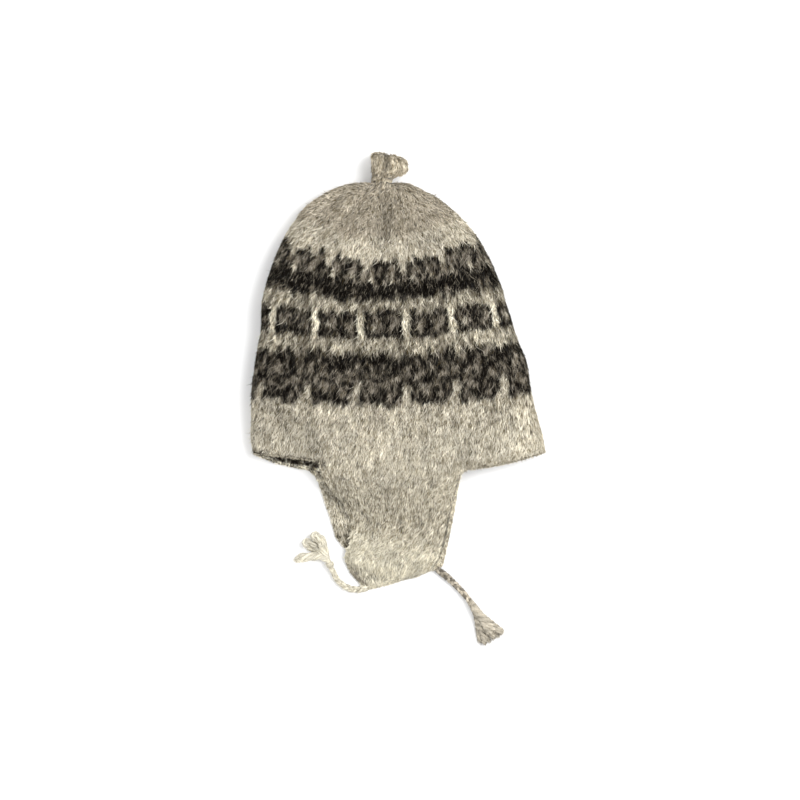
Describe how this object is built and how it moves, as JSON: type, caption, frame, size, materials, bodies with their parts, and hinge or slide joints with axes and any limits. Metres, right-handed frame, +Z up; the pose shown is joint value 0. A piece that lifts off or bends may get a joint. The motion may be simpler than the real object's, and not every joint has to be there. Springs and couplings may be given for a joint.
{
  "type": "chullo hat",
  "caption": "Brushed knitted hat lying flat, with a hollow crown open at the rim, ear flaps that end in short braided ties with tassels, and a tied tuft at the top.",
  "frame": {"origin": "under the middle of the knitted body's box, on the surface that it lies on", "axes": "+Z up from the surface, +Y from the rim towards the top of the crown, +X to the right seen from above"},
  "size_m": [0.2588, 0.429, 0.0459],
  "materials": {
    "crown_knit": "brushed alpaca knit, grey with dark charted bands",
    "flap_knit": "brushed alpaca knit, pale grey to cream",
    "tuft_knit": "brushed alpaca knit, beige grey",
    "cream_yarn": "soft spun alpaca yarn, cream",
    "heather_yarn": "soft spun alpaca yarn, grey brown"
  },
  "bodies": {
    "root": {"crown": "crown_knit", "ear_flap_upper": "flap_knit", "ear_flap_lower": "flap_knit", "top_tuft": "tuft_knit", "tie_left": "cream_yarn", "tie_right": "heather_yarn", "binding_left": "cream_yarn", "binding_right": "heather_yarn", "tassel_left": "cream_yarn", "tassel_right": "heather_yarn"}
  },
  "joints": []
}
